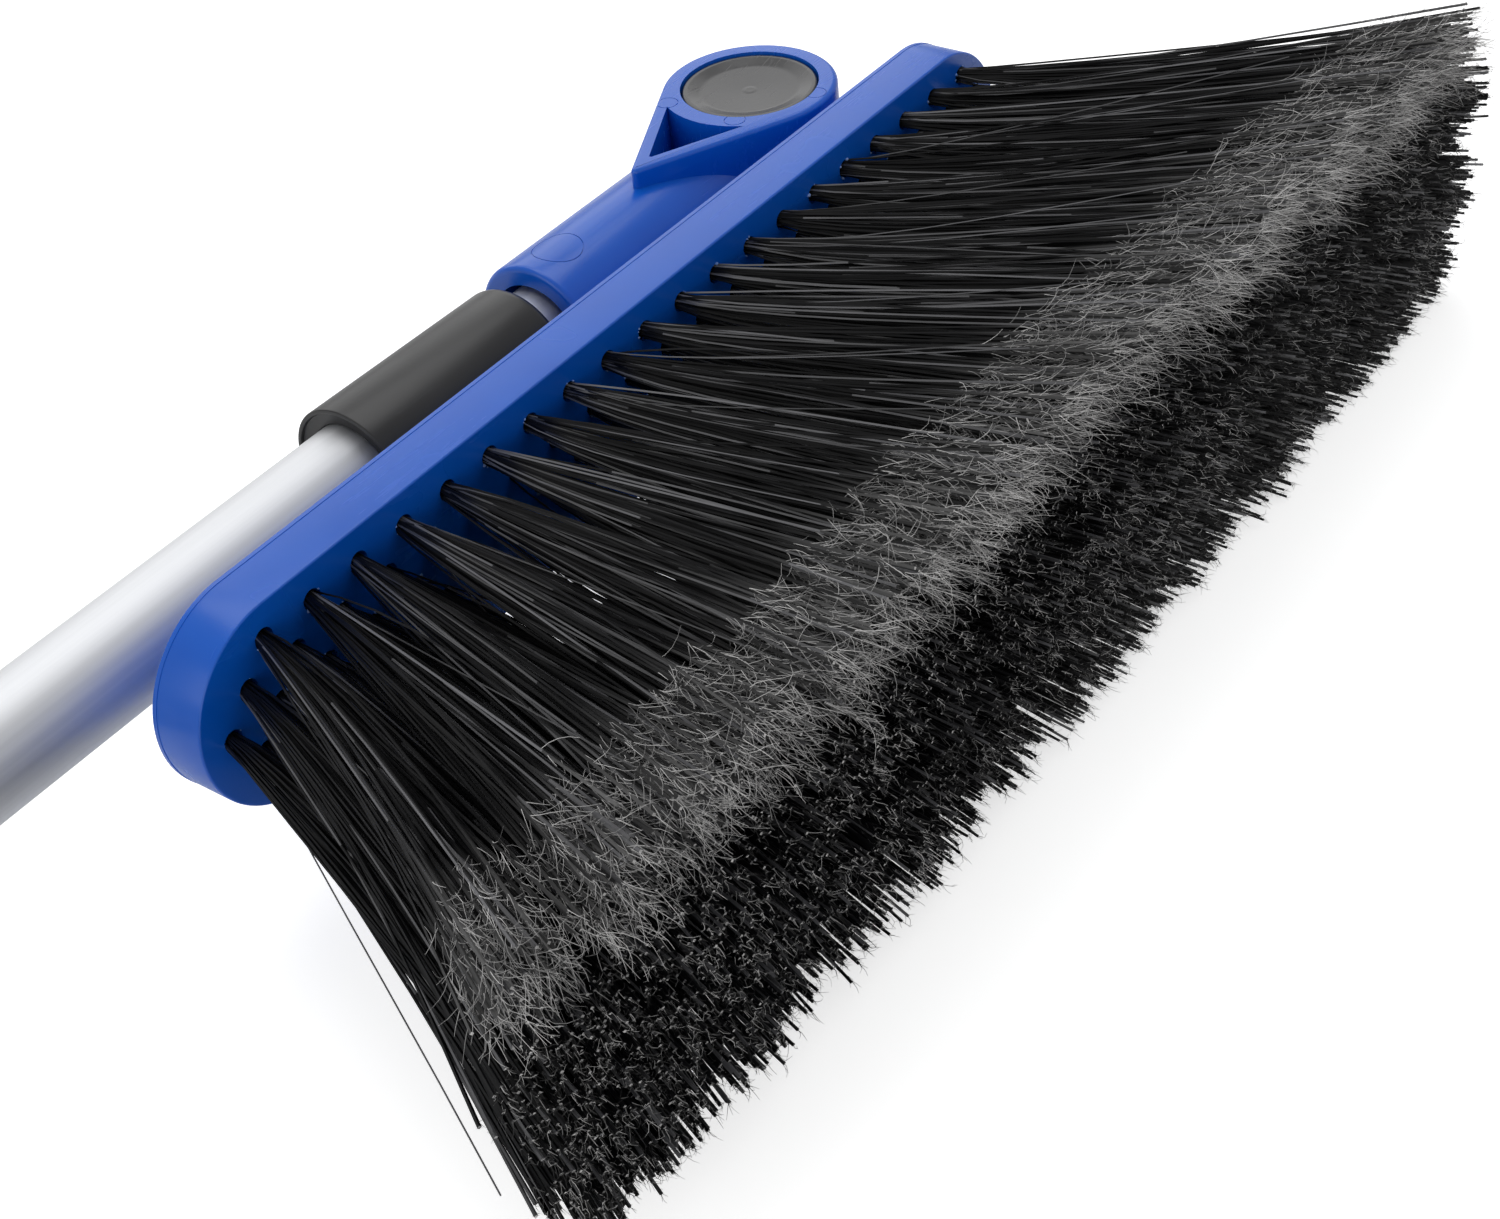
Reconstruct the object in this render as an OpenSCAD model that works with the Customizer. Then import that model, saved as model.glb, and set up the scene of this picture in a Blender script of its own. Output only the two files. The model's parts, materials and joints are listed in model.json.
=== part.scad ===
// Telescoping snow brush with a pivoting head and an ice scraper on the other end.
// The hanging hole's centre is the origin, +X runs along the pole towards the brush head, and +Z is the
// direction of the hanging hole and of the head's pivot. The bristles point to -Y.

/* [Handle] */
// Outside diameter of the aluminium handle tube
outer_tube_d = 25; // [22:0.5:30]
// Wall of the handle tube
outer_tube_wall = 0.9; // [0.7:0.1:1.3]
// Length of the handle tube
outer_tube_length = 530; // [460:5:640]
// Where the handle tube starts, measured from the hanging hole
outer_tube_start = 20; // [16:1:30]
// Length of the foam grip
grip_length = 184; // [120:1:220]
// Outside diameter of the foam grip
grip_d = 37; // [33:0.5:46]
// Rounding at the ends of the foam grip
grip_round = 4; // [1:0.5:5]

/* [Scraper] */
// Width of the scraper blade
blade_width = 108; // [90:1:130]
// Length of the blade from its edge to its back end
blade_length = 76; // [65:1:90]
// Thickness of the blade
blade_thickness = 5; // [3:0.5:6]
// Length of the bevel at the blade's edge
blade_bevel = 11; // [6:0.5:16]
// Length of the blade that sits in the holder
blade_seat = 24; // [18:0.5:30]
// Thickness of the scraper holder
holder_thickness = 15; // [12:0.5:18]
// Depth of the handle tube in the holder's socket
holder_socket_depth = 44; // [30:1:56]
// Wall of the holder's socket
holder_socket_wall = 3; // [2.5:0.1:5]
// Diameter of the hanging hole
hang_hole_d = 8; // [5:0.5:10]
// Number of rivets that hold the blade
rivet_count = 3; // [2:1:4]
// Diameter of a blade rivet
rivet_d = 4; // [3:0.5:5]

/* [Telescope] */
// Outside diameter of the inner tube
inner_tube_d = 22.4; // [18:0.1:22.8]
// Wall of the inner tube
inner_tube_wall = 1; // [0.7:0.1:1.5]
// Length of the inner tube
inner_tube_length = 468; // [430:1:480]
// Depth of the inner tube in the yoke's socket
yoke_socket_depth = 45; // [30:1:52]
// Length of the lock's expanding sleeve
lock_sleeve_length = 38; // [25:1:45]
// Diameter of the lock's stud
lock_stud_d = 10; // [8:0.5:13]
// Length of the black collar on the end of the handle tube
collar_length = 61.8; // [50:0.1:75]
// Length of the collar that covers the handle tube
collar_overlap = 54.8; // [40:0.1:70]
// Diameter of the collar at the tube side
collar_d = 34.4; // [33:0.1:40]
// Diameter of the collar at the head side
collar_head_d = 32.6; // [32:0.1:38]
// Rounding of the collar's head end
collar_round = 3.5; // [1:0.5:5]
// Free length of inner tube between the collar and the yoke when pushed in
neck_gap = 6; // [2:0.5:20]

/* [Yoke] */
// Outside diameter of the yoke's socket
socket_d = 35.8; // [32:0.1:40]
// Distance from the socket's mouth to the pivot axis
mouth_to_pivot = 95.4; // [90:0.1:115]
// Outside diameter of the yoke's ring
ring_d = 47.4; // [46:0.1:54]
// Height of the ring's top above the pole's axis
ring_top = 23.3; // [21:0.1:27]
// Depth of the ring's underside below the pole's axis
ring_bottom = 8.5; // [6:0.1:10]
// Distance from the pivot axis to the tip of the ring's pointed end
tip_reach = 51.5; // [44:0.5:60]
// Wall between the triangular pocket and the outside
pocket_wall = 3.4; // [2:0.1:5]
// Diameter of the round pad on top of the socket
pad_d = 13; // [8:0.5:14]
// Distance from the mouth to the centre of the round pad
pad_from_mouth = 12; // [10:0.5:30]

/* [Pivot button] */
// Diameter of the button
button_d = 36.6; // [34:0.1:37]
// Travel of the button
button_travel = 4; // [2:0.5:4]
// Gap round the button
button_gap = 0.4; // [0.3:0.05:0.8]
// Diameter of the hub's spigot in the ring's floor
spigot_d = 28; // [25:0.5:30]
// Diameter of the hub's post that guides the lock gear
post_d = 20; // [18:0.5:20]
// Number of teeth on the lock gear
gear_teeth = 24; // [12:1:36]
// Number of turns of the button spring
spring_turns = 5; // [3:1:7]
// Wire diameter of the button spring
spring_wire_d = 1.4; // [0.8:0.1:1.6]

/* [Brush head] */
// Length of the bristle block
block_length = 307.6; // [250:0.5:370]
// Width of the bristle block, along the pivot axis
block_width = 50; // [50:0.5:62]
// Thickness of the bristle block
block_thickness = 13.7; // [13:0.1:17]
// Distance from the pole's axis to the middle of the block
block_offset = 35.2; // [35:0.1:42]
// Distance from the block's middle to the pivot axis
block_behind_pivot = 98.4; // [70:0.1:105]
// Distance between tufts in a row
tuft_pitch = 14.12; // [13:0.01:17]
// Distance between rows of tufts
row_pitch = 8.35; // [8:0.05:10]
// Shift of the rows from the block's middle
row_shift = 3; // [-4:0.5:4]
// Diameter of a tuft's hole
tuft_hole_d = 5.6; // [4.5:0.1:6]
// Depth of a tuft's hole
tuft_hole_depth = 8.5; // [7:0.1:9]
// Length of the bristles, measured square to the block
bristle_length = 113; // [90:1:130]
// How much the tufts fan out along the block at their tips
fan_along = 1.43; // [1:0.01:1.6]
// Lean of all the tips towards the head's far end, mm
fan_lean = 20; // [-30:1:30]
// How much the tufts fan out across the block at their tips
fan_across = 2.5; // [1:0.05:2.8]
// Diameter of a tuft at its tips
tuft_tip_d = 10; // [7:0.5:12]

/* [Hidden] */
$fn = 64;
fine = 96;
snug = 0.03;            // radial gap of two pieces that are fixed to each other
running = 0.07;         // radial gap of two pieces that turn or slide on each other
axial = 0.3;            // gap along an axis between pieces that turn on each other
cut = 1;                // how far a cutting shape runs past a face
outline_steps = 60;     // straight pieces in an outline's long arc

outer_tube_end = outer_tube_start + outer_tube_length;
outer_bore_d = outer_tube_d - 2 * outer_tube_wall;
socket_wall_d = outer_tube_d + 2 * holder_socket_wall;
holder_socket_end = outer_tube_start + holder_socket_depth;
grip_start = holder_socket_end + 2;
holder_pin_x = outer_tube_start + holder_socket_depth * 0.7;
holder_pin_d = 3.2;

blade_back = -hang_hole_d / 2 - 6;
blade_edge = blade_back - blade_length;
holder_mouth = blade_back - blade_seat;
holder_side_round = 7;
rivet_x = blade_back - blade_seat * 0.5;
rivet_pitch = blade_width / (rivet_count + 0.4);
rivet_head_d = rivet_d * 2;
rivet_head_height = 1.4;

collar_start = outer_tube_end - collar_overlap;
collar_end = collar_start + collar_length;
collar_lip = 1.5;
mouth_x = collar_end + neck_gap;
pivot_x = mouth_x + mouth_to_pivot;
inner_tube_end = mouth_x + yoke_socket_depth;
inner_tube_start = inner_tube_end - inner_tube_length;
inner_bore_d = inner_tube_d - 2 * inner_tube_wall;
mouth_bore_d = inner_tube_d + 3;
mouth_bore_depth = 10;
mouth_round = 1.5;
yoke_rivet_x = mouth_x + yoke_socket_depth * 0.72;
yoke_rivet_d = 4;

lock_plug_depth = 24;
lock_flange = 3;
lock_flange_end = inner_tube_start - lock_flange;
lock_sleeve_end = lock_flange_end - axial;
lock_sleeve_start = lock_sleeve_end - lock_sleeve_length;
lock_stud_end = lock_sleeve_start - axial;
lock_sleeve_d = outer_bore_d - 2 * running;
lock_washer_d = outer_bore_d - 3;
lock_washer_thickness = 1.2;
lock_slit = 2;

ring_r = ring_d / 2;
ring_bore_d = button_d + 2 * button_gap;
ring_floor = 3.5;
floor_top = ring_floor - ring_bottom;
hub_top = -ring_bottom - axial;
hub_bottom = -ring_top;
hub_d = ring_d - 1.4;
spigot_top = floor_top + axial;
washer_thickness = 1.5;
washer_d = ring_bore_d - 2.4;
clip_thickness = 1;
clip_bottom = spigot_top + washer_thickness;
clip_top = clip_bottom + clip_thickness;
clip_d = post_d + 6;
clip_groove_d = post_d - 2.4;
post_top = ring_top - 10.3;
gear_top = post_top;
gear_flange_bottom = clip_bottom + button_travel + axial + 0.1;
gear_flange_height = 4;
gear_body_d = button_d - 4.2;
gear_bearing = 5;
gear_recess_d = max(gear_body_d - 3.4, post_d + 2 * spring_wire_d + 2);
gear_tooth_depth = 1.6;
cap_wall = 2.1;
cap_underside = post_top + button_travel + 1.5;
cap_rim_drop = 0.6;
cap_rim = 1.2;
cap_dish = 1.3;
stop_washer_thickness = 1.2;
stop_washer_d = post_d + 5;
stop_screw_d = 4;
stop_screw_length = 14;
spring_bottom = clip_top;
spring_top = gear_top - gear_bearing;
spring_mean_d = (gear_recess_d + post_d) / 2 - 0.3;
spring_steps = 18;
spring_sides = 8;

block_x = pivot_x - block_behind_pivot;
block_front = -block_offset - block_thickness / 2;
block_back = block_front + block_thickness;
block_end_r = block_width / 2;
row_count = 5;
row_middle = (row_count - 1) / 2;
row_room = block_length - block_width + 12;
longest_row = 1 + floor(row_room / tuft_pitch);
tuft_root_d = tuft_hole_d - 1.6;
tuft_root_depth = 1.5;
anchor_height = 1.8;
anchor_thickness = 0.5;
tip_y = block_front - bristle_length;

foot_thickness = 5;
foot_ear = 14;
screw_d = 4;
screw_bite = 5.5;
screw_head_d = 7.4;
screw_head_height = 2.4;
screw_z = row_pitch;
foot_ear_top = screw_z + screw_head_d / 2 + 2;
screw_gap_left = floor((pivot_x - ring_r - foot_ear - row_start(1)) / tuft_pitch) + 0.5;
screw_gap_right = ceil((pivot_x + ring_r - row_start(1)) / tuft_pitch) + 0.5;
screw_left = row_start(1) + tuft_pitch * (screw_gap_left - 1);
screw_right = row_start(1) + tuft_pitch * screw_gap_right;

BLUE = [0.05, 0.2, 0.72];
BLACK = [0.08, 0.08, 0.09];
CHARCOAL = [0.2, 0.2, 0.21];
ALUMINIUM = [0.8, 0.81, 0.83];
STEEL = [0.6, 0.62, 0.65];
CLEAR_BLUE = [0.5, 0.66, 0.9];

// ---- Helpers ----

// Places its children, drawn upwards along Z, along the pole from x.
module along_pole(x) {
    translate([x, 0, 0]) rotate([0, 90, 0]) children();
}

module rod_on_pole(from, to, d) {
    along_pole(from) cylinder(d = d, h = to - from, $fn = fine);
}

module pipe_on_pole(from, to, outside_d, inside_d) {
    difference() {
        rod_on_pole(from, to, outside_d);
        rod_on_pole(from - cut, to + cut, inside_d);
    }
}

module at_pivot(z) {
    translate([pivot_x, 0, z]) children();
}

module washer(outside_d, inside_d, thickness) {
    difference() {
        cylinder(d = outside_d, h = thickness);
        translate([0, 0, -cut]) cylinder(d = inside_d, h = thickness + 2 * cut);
    }
}

// First tuft's place along the pole in the given row: each row towards the middle starts half a pitch earlier.
function row_start(row) =
    block_x + row_shift - tuft_pitch * (longest_row - 1) / 2 - tuft_pitch / 2 * inward(row);
function inward(row) = row_middle - abs(row - row_middle);
function tufts_in(row) = longest_row + (inward(row) > 0 ? 1 : 0);
function row_z(row) = row_pitch * (row_middle - row);
function tuft_x(row, i) = row_start(row) + tuft_pitch * i;
function tip_x(x) = block_x + (x - block_x) * fan_along + fan_lean;

// ---- Handle ----

module outer_tube() {
    color(ALUMINIUM) difference() {
        pipe_on_pole(outer_tube_start, outer_tube_end, outer_tube_d, outer_bore_d);
        pin_across_handle(holder_pin_d);
    }
}

module pin_across_handle(d) {
    translate([holder_pin_x, 0, 0]) rotate([90, 0, 0])
        cylinder(d = d, h = socket_wall_d + 2 * cut, center = true);
}

module collar() {
    color(BLACK) along_pole(collar_start) difference() {
        rotate_extrude($fn = fine) {
            polygon([
                [0, 0], [collar_d / 2, 0],
                [collar_head_d / 2, collar_length - collar_round],
                [collar_head_d / 2 - collar_round, collar_length - collar_round],
                [collar_head_d / 2 - collar_round, collar_length], [0, collar_length]
            ]);
            translate([collar_head_d / 2 - collar_round, collar_length - collar_round])
                circle(r = collar_round);
        }
        translate([0, 0, -cut])
            cylinder(d = outer_tube_d + 2 * snug, h = collar_length - collar_lip + cut, $fn = fine);
        cylinder(d = inner_tube_d + 1.2, h = collar_length + cut, $fn = fine);
    }
}

module collar_bush() {
    color(CHARCOAL)
        pipe_on_pole(outer_tube_end + snug, collar_end - collar_lip - snug, outer_tube_d,
            inner_tube_d + 2 * running);
}

module foam_grip() {
    r = grip_d / 2;
    color(BLACK) along_pole(grip_start) rotate_extrude($fn = fine) difference() {
        union() {
            square([r - grip_round, grip_length]);
            translate([0, grip_round]) square([r, grip_length - 2 * grip_round]);
            for (y = [grip_round, grip_length - grip_round])
                translate([r - grip_round, y]) circle(r = grip_round);
        }
        translate([0, -cut]) square([outer_tube_d / 2 + snug, grip_length + 2 * cut]);
        translate([-grip_length, -cut]) square([grip_length, grip_length + 2 * cut]);
    }
}

// ---- Scraper ----

module holder_outline() {
    side = blade_width / 2 + 2;
    front = holder_mouth + holder_side_round;
    polygon([
        [outer_tube_start + 2, -socket_wall_d / 2], [outer_tube_start + 2, socket_wall_d / 2],
        [holder_mouth + 2 * holder_side_round, side], [front, side],
        [holder_mouth, side - holder_side_round], [holder_mouth, holder_side_round - side],
        [front, -side], [holder_mouth + 2 * holder_side_round, -side]
    ]);
    for (s = [-1, 1])
        translate([front, s * (side - holder_side_round)]) circle(r = holder_side_round);
}

module scraper_holder() {
    color(BLUE) difference() {
        union() {
            linear_extrude(holder_thickness, center = true) holder_outline();
            rod_on_pole(hang_hole_d / 2 + 8, holder_socket_end, socket_wall_d);
        }
        rod_on_pole(outer_tube_start - snug, holder_socket_end + cut, outer_tube_d + 2 * snug);
        pin_across_handle(holder_pin_d);
        translate([holder_mouth - cut, -blade_width / 2 - 3, -blade_thickness / 2 - snug])
            cube([blade_seat + cut + snug, blade_width + 6, blade_thickness + 2 * snug]);
        translate([0, 0, -holder_thickness])
            cylinder(d = hang_hole_d, h = 2 * holder_thickness);
        at_rivets() cylinder(d = rivet_d + 2 * snug, h = 2 * holder_thickness, center = true);
    }
}

module at_rivets() {
    for (i = [0:rivet_count - 1])
        translate([rivet_x, (i - (rivet_count - 1) / 2) * rivet_pitch, 0]) children();
}

module holder_pin() {
    color(STEEL) translate([holder_pin_x, 0, 0]) rotate([90, 0, 0])
        cylinder(d = holder_pin_d - 2 * snug, h = socket_wall_d - 0.4, center = true);
}

module scraper_blade() {
    half = blade_thickness / 2;
    color(CLEAR_BLUE) difference() {
        translate([0, blade_width / 2, 0]) rotate([90, 0, 0]) linear_extrude(blade_width) polygon([
            [blade_back, -half], [blade_back, half], [blade_edge + blade_bevel, half],
            [blade_edge, 0.6 - half], [blade_edge, -half]
        ]);
        at_rivets() cylinder(d = rivet_d + 2 * snug, h = 2 * holder_thickness, center = true);
    }
}

module blade_rivets() {
    color(STEEL) at_rivets() {
        cylinder(d = rivet_d, h = holder_thickness + rivet_head_height, center = true);
        for (s = [0, 1]) mirror([0, 0, s]) translate([0, 0, holder_thickness / 2])
            cylinder(d1 = rivet_head_d, d2 = rivet_head_d * 0.7, h = rivet_head_height);
    }
}

// ---- Twist lock and inner tube ----

module lock_sleeve() {
    color(CHARCOAL) difference() {
        pipe_on_pole(lock_sleeve_start, lock_sleeve_end, lock_sleeve_d, lock_stud_d + 2 * running);
        translate([lock_sleeve_start - cut, 0, -lock_slit / 2])
            cube([lock_sleeve_length + 2 * cut, lock_sleeve_d, lock_slit]);
    }
}

module lock_plug() {
    color(BLACK) difference() {
        union() {
            rod_on_pole(inner_tube_start, inner_tube_start + lock_plug_depth, inner_bore_d - 2 * snug);
            rod_on_pole(lock_flange_end, inner_tube_start - snug, inner_tube_d);
            rod_on_pole(lock_stud_end, lock_flange_end, lock_stud_d);
        }
        rod_on_pole(lock_stud_end - cut, lock_stud_end + stop_screw_length, stop_screw_d + 2 * snug);
    }
}

module lock_washer() {
    color(STEEL) pipe_on_pole(lock_stud_end - lock_washer_thickness - snug, lock_stud_end - snug,
        lock_washer_d, stop_screw_d + 2 * snug);
}

module lock_screw() {
    head = lock_stud_end - lock_washer_thickness - 2 * snug;
    color(STEEL) {
        rod_on_pole(head - 2.4, head, stop_screw_d * 1.9);
        rod_on_pole(head, lock_stud_end + stop_screw_length - 1, stop_screw_d);
    }
}

module inner_tube() {
    color(ALUMINIUM) difference() {
        pipe_on_pole(inner_tube_start, inner_tube_end, inner_tube_d, inner_bore_d);
        at_yoke_rivet(yoke_rivet_d + 2 * snug);
    }
}

module at_yoke_rivet(d) {
    translate([yoke_rivet_x, 0, -socket_d / 2 - cut]) cylinder(d = d, h = socket_d / 2);
}

// ---- Yoke ----

// Outline of a ring with a pointed end towards the handle: an arc, and its two tangents to a point.
module teardrop(r, reach) {
    touch = acos(r / reach);
    arc = 360 - 2 * touch;
    polygon([
        [-reach, 0],
        for (i = [0:outline_steps]) let (a = 180 + touch + arc * i / outline_steps) [r * cos(a), r * sin(a)]
    ]);
}

module yoke() {
    tip_slope = asin(ring_r / tip_reach);
    pocket_reach = tip_reach - pocket_wall / sin(tip_slope);
    color(BLUE) difference() {
        union() {
            at_pivot(-ring_bottom) linear_extrude(ring_top + ring_bottom) teardrop(ring_r, tip_reach);
            along_pole(mouth_x) rotate_extrude($fn = fine) {
                square([socket_d / 2 - mouth_round, mouth_to_pivot]);
                translate([0, mouth_round]) square([socket_d / 2, mouth_to_pivot - mouth_round]);
                intersection() {
                    translate([socket_d / 2 - mouth_round, mouth_round]) circle(r = mouth_round);
                    square(socket_d);
                }
            }
            translate([mouth_x + pad_from_mouth, 0, 0]) cylinder(d = pad_d, h = socket_d / 2 + 0.1);
        }
        rod_on_pole(mouth_x - cut, inner_tube_end + snug, inner_tube_d + 2 * snug);
        rod_on_pole(mouth_x - cut, mouth_x + mouth_bore_depth, mouth_bore_d);
        at_yoke_rivet(yoke_rivet_d + 2 * snug);
        at_pivot(floor_top) cylinder(d = ring_bore_d, h = socket_d + ring_top, $fn = fine);
        at_pivot(-ring_bottom - cut)
            cylinder(d = spigot_d + 2 * running, h = ring_floor + 2 * cut, $fn = fine);
        // The hub and its arm turn under the ring, so nothing of the socket reaches below the ring there.
        translate([pivot_x - hub_d / 2 - 1, -socket_d, -socket_d])
            cube([hub_d + 2, 2 * socket_d, socket_d - ring_bottom]);
        at_pivot(2) linear_extrude(socket_d) difference() {
            teardrop(ring_r - pocket_wall, pocket_reach);
            circle(d = ring_d, $fn = fine);
        }
    }
}

module yoke_rivet() {
    color(STEEL) translate([yoke_rivet_x, 0, 0]) {
        translate([0, 0, -socket_d / 2 - 1])
            cylinder(d = yoke_rivet_d, h = socket_d / 2 - inner_bore_d / 2 + 2.5);
        translate([0, 0, -socket_d / 2 - 1.4]) cylinder(d = yoke_rivet_d * 1.8, h = 1.4);
    }
}

// ---- Button and lock gear ----

module button_cap() {
    r = button_d / 2;
    top = ring_top - cap_rim_drop;
    dish_r = (pow(r - cap_rim, 2) + pow(cap_dish, 2)) / (2 * cap_dish);
    color(CHARCOAL) at_pivot(0) difference() {
        translate([0, 0, gear_flange_bottom + gear_flange_height])
            cylinder(d = button_d, h = top - gear_flange_bottom - gear_flange_height, $fn = fine);
        cylinder(d = gear_body_d + 2 * snug, h = cap_underside, $fn = fine);
        intersection() {
            translate([0, 0, top - cap_dish + dish_r]) sphere(r = dish_r, $fn = fine);
            translate([0, 0, top - cap_dish - cut]) cylinder(r = r - cap_rim, h = 2 * cap_dish + cut);
        }
    }
}

// Outline of the toothed flange: each tooth and each gap takes half a pitch at the root.
module gear_outline(tip_r, root_r) {
    pitch = 360 / gear_teeth;
    polygon([
        for (i = [0:gear_teeth - 1])
            each [
                for (corner = [[root_r, -0.25], [tip_r, -0.16], [tip_r, 0.16], [root_r, 0.25]])
                    let (a = (i + corner[1]) * pitch) [corner[0] * cos(a), corner[0] * sin(a)]
            ]
    ]);
}

module lock_gear() {
    tip_r = button_d / 2 - 0.1;
    flange_top = gear_flange_bottom + gear_flange_height;
    color(ALUMINIUM) at_pivot(0) difference() {
        union() {
            translate([0, 0, flange_top - cut])
                cylinder(d = gear_body_d, h = gear_top - flange_top + cut);
            translate([0, 0, gear_flange_bottom])
                linear_extrude(gear_flange_height) gear_outline(tip_r, tip_r - gear_tooth_depth);
        }
        cylinder(d = post_d + 2 * running, h = ring_top);
        translate([0, 0, gear_flange_bottom - cut])
            cylinder(d = gear_recess_d, h = gear_top - gear_bearing - gear_flange_bottom + cut);
    }
}

// The wire's ring of points at the given step round the helix.
function wire_ring(step, steps, r, wire_r, rise) = [
    for (k = [0:spring_sides - 1])
        let (turn = 360 * step / spring_steps, side = 360 * k / spring_sides,
             out = r + wire_r * cos(side))
        [out * cos(turn), out * sin(turn), rise * step / steps + wire_r * sin(side)]
];

module button_spring() {
    steps = spring_turns * spring_steps;
    wire_r = spring_wire_d / 2;
    rise = spring_top - spring_bottom - spring_wire_d - 2 * snug;
    points = [for (s = [0:steps]) each wire_ring(s, steps, spring_mean_d / 2, wire_r, rise)];
    last = steps * spring_sides;
    color(STEEL) at_pivot(spring_bottom + wire_r + snug) polyhedron(points, concat(
        [[for (k = [0:spring_sides - 1]) k]],
        [for (s = [0:steps - 1]) for (k = [0:spring_sides - 1])
            let (a = s * spring_sides + k, b = s * spring_sides + (k + 1) % spring_sides)
            each [[a, a + spring_sides, b], [b, a + spring_sides, b + spring_sides]]],
        [[for (k = [spring_sides - 1:-1:0]) last + k]]
    ));
}

module stop_washer() {
    color(STEEL) at_pivot(post_top + snug) difference() {
        cylinder(d = stop_washer_d, h = stop_washer_thickness);
        translate([0, 0, -cut]) cylinder(d = stop_screw_d + 2 * snug, h = 4 * stop_washer_thickness);
        cylinder(d1 = stop_screw_d + 2 * snug, d2 = stop_screw_d * 2 + 2 * snug, h = stop_washer_thickness);
    }
}

module stop_screw() {
    color(STEEL) at_pivot(post_top + snug) {
        cylinder(d1 = stop_screw_d, d2 = stop_screw_d * 2, h = stop_washer_thickness);
        translate([0, 0, -stop_screw_length]) cylinder(d = stop_screw_d, h = stop_screw_length);
    }
}

// ---- Head ----

module pivot_washer() {
    color(STEEL) at_pivot(spigot_top + snug)
        washer(washer_d, post_d + 2 * snug, washer_thickness - 2 * snug);
}

module retaining_clip() {
    color(STEEL) at_pivot(clip_bottom) difference() {
        washer(clip_d, clip_groove_d + 2 * snug, clip_thickness - snug);
        translate([0, -clip_groove_d * 0.3, -cut]) cube([clip_d, clip_groove_d * 0.6, 3 * cut]);
    }
}

module foot_ear_at(x) {
    translate([x - foot_ear / 2, block_back, hub_bottom])
        cube([foot_ear, foot_thickness, foot_ear_top - hub_bottom]);
}

module at_bracket_screws() {
    for (x = [screw_left, screw_right], z = [-screw_z, screw_z])
        translate([x, block_back, z]) rotate([-90, 0, 0]) children();
}

module pivot_bracket() {
    hub_height = hub_top - hub_bottom;
    color(BLUE) difference() {
        union() {
            at_pivot(hub_bottom) cylinder(d = hub_d, h = hub_height, $fn = fine);
            at_pivot(hub_bottom) cylinder(d = spigot_d, h = spigot_top - hub_bottom, $fn = fine);
            at_pivot(hub_bottom) cylinder(d = post_d, h = post_top - hub_bottom, $fn = fine);
            translate([pivot_x - hub_d / 2, block_back, hub_bottom])
                cube([hub_d, -block_back, hub_height]);
            translate([screw_left - foot_ear / 2, block_back, hub_bottom])
                cube([screw_right - screw_left + foot_ear, foot_thickness, hub_height]);
            foot_ear_at(screw_left);
            foot_ear_at(screw_right);
        }
        at_pivot(clip_bottom) washer(post_d + cut, clip_groove_d, clip_thickness);
        at_pivot(post_top - stop_screw_length - 1)
            cylinder(d = stop_screw_d + 2 * snug, h = stop_screw_length + 2);
        // The hub is hollow from below, with a floor under the spigot.
        at_pivot(hub_bottom - cut) washer(hub_d - 7, stop_screw_d + 8, hub_height - 4 + cut);
        at_bracket_screws() translate([0, 0, -cut])
            cylinder(d = screw_d + 2 * snug, h = foot_thickness + 2 * cut);
    }
}

module bracket_screws() {
    color(STEEL) at_bracket_screws() {
        translate([0, 0, -screw_bite]) cylinder(d = screw_d, h = screw_bite + foot_thickness + 0.5);
        translate([0, 0, foot_thickness + snug])
            cylinder(d1 = screw_head_d, d2 = screw_head_d * 0.75, h = screw_head_height);
    }
}

module brush_block() {
    half = block_length / 2 - block_end_r;
    color(BLUE) difference() {
        translate([block_x, block_back, 0]) rotate([90, 0, 0]) {
            translate([-half, -block_end_r, 0]) cube([2 * half, block_width, block_thickness]);
            for (s = [-1, 1]) translate([s * half, 0, 0])
                cylinder(r = block_end_r, h = block_thickness, $fn = fine);
        }
        for (row = [0:row_count - 1], i = [0:tufts_in(row) - 1])
            translate([tuft_x(row, i), block_front - cut, row_z(row)]) rotate([-90, 0, 0])
                cylinder(d = tuft_hole_d, h = tuft_hole_depth + cut, $fn = 24);
        at_bracket_screws() translate([0, 0, -screw_bite - 0.5])
            cylinder(d = screw_d + 2 * snug, h = screw_bite + cut, $fn = 24);
    }
}

module tuft_anchors() {
    color(STEEL) for (row = [0:row_count - 1], i = [0:tufts_in(row) - 1])
        translate([tuft_x(row, i), block_front + tuft_hole_depth - anchor_height / 2 - 0.1, row_z(row)])
            cube([tuft_hole_d - 0.8, anchor_height, anchor_thickness], center = true);
}

// One row of tufts: each is a plain cone from just inside its hole to the trimmed tips, leaning with the fan.
// Its axis crosses the hole's axis halfway down the root, so the lean leaves room on every side of the hole.
module tuft_row(row) {
    root_y = block_front + tuft_root_depth / 2;
    color(BLACK) for (i = [0:tufts_in(row) - 1]) {
        x = tuft_x(row, i);
        z = row_z(row);
        lean = [tip_x(x) - x, tip_y - root_y, z * (fan_across - 1)];
        back = tuft_root_depth / 2 * norm(lean) / (root_y - tip_y);
        translate([x, root_y, z]) rotate([0, acos(lean.z / norm(lean)), atan2(lean.y, lean.x)])
            translate([0, 0, -back])
                cylinder(d1 = tuft_root_d, d2 = tuft_tip_d, h = norm(lean) + back, $fn = 24);
    }
}

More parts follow.
